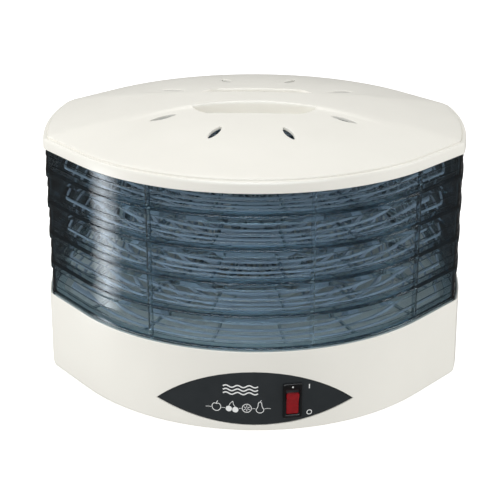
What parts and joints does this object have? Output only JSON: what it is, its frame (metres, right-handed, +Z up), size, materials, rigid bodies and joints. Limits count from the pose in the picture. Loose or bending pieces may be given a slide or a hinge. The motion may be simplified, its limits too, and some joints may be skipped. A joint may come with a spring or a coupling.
{
  "type": "food dehydrator",
  "caption": "Electric food dehydrator with a heated fan base, stacking see-through trays with slotted floors, a domed vented lid with a recessed grip, and a rocker switch.",
  "frame": {"origin": "on the table, under the middle of the base", "axes": "+Z up, -Y towards the control panel, +X to the right seen from the front"},
  "size_m": [0.3414, 0.305, 0.2205],
  "materials": {
    "cream_plastic": "satin off-white moulded plastic",
    "smoky_clear_plastic": "clear smoky blue-grey polished plastic",
    "charcoal_plastic": "smooth dark grey",
    "black_plastic": "satin black",
    "red_plastic": "translucent red",
    "rubber": "matte",
    "steel": "plain",
    "bronze": "plain",
    "copper": "enamelled winding",
    "mica": "mica board",
    "natural_plastic": "natural nylon"
  },
  "bodies": {
    "base": {"base_housing": "cream_plastic", "bottom_cover": "cream_plastic", "fan_grille": "cream_plastic", "control_panel": "charcoal_plastic", "switch_housing": "black_plastic", "thermostat": "black_plastic", "cord_gland": "rubber", "foot_1": "rubber", "foot_2": "rubber", "foot_3": "rubber", "foot_4": "rubber", "lead_supply": "rubber", "lead_switch": "rubber", "lead_heater": "rubber", "lead_motor": "rubber", "cover_screw_1": "steel", "cover_screw_2": "steel", "cover_screw_3": "steel", "cover_screw_4": "steel", "cover_screw_5": "steel", "cover_screw_6": "steel", "motor_bracket": "steel", "motor_can": "steel", "motor_screw_1": "steel", "motor_screw_2": "steel", "air_duct": "steel", "heater_coil_inner": "steel", "heater_coil_outer": "steel", "motor_bush_bottom": "bronze", "motor_bush_top": "bronze", "switch_blade_1": "bronze", "switch_blade_2": "bronze", "motor_windings": "copper", "heater_board_a": "mica", "heater_board_b": "mica", "motor_end_cap": "natural_plastic", "thermal_fuse": "natural_plastic", "terminal_block": "natural_plastic"},
    "fan": {"fan_impeller": "natural_plastic", "motor_rotor": "steel", "motor_shaft": "steel", "fan_nut": "steel"},
    "rocker": {"switch_rocker": "red_plastic"},
    "tray_1": {"tray_1": "smoky_clear_plastic"},
    "tray_2": {"tray_2": "smoky_clear_plastic"},
    "tray_3": {"tray_3": "smoky_clear_plastic"},
    "tray_4": {"tray_4": "smoky_clear_plastic"},
    "tray_5": {"tray_5": "smoky_clear_plastic"},
    "lid": {"lid": "cream_plastic"}
  },
  "joints": [
    {"name": "tray_1_lift", "type": "slide", "parent": "base", "child": "tray_1", "axis": [0, 0, 1], "range_m": [0, 0.03]},
    {"name": "tray_2_lift", "type": "slide", "parent": "tray_1", "child": "tray_2", "axis": [0, 0, 1], "range_m": [0, 0.03]},
    {"name": "tray_3_lift", "type": "slide", "parent": "tray_2", "child": "tray_3", "axis": [0, 0, 1], "range_m": [0, 0.03]},
    {"name": "tray_4_lift", "type": "slide", "parent": "tray_3", "child": "tray_4", "axis": [0, 0, 1], "range_m": [0, 0.03]},
    {"name": "tray_5_lift", "type": "slide", "parent": "tray_4", "child": "tray_5", "axis": [0, 0, 1], "range_m": [0, 0.03]},
    {"name": "lid_lift", "type": "slide", "parent": "tray_5", "child": "lid", "axis": [0, 0, 1], "range_m": [0, 0.03]},
    {"name": "fan_spin", "type": "hinge", "parent": "base", "child": "fan", "pos_m": [0, 0, 0.038], "axis": [0, 0, 1], "continuous": true},
    {"name": "rocker_tip", "type": "hinge", "parent": "base", "child": "rocker", "pos_m": [0.03228, -0.14483, 0.0266], "axis": [0.9816, 0.1908, 0], "range_deg": [-20, 0]}
  ]
}
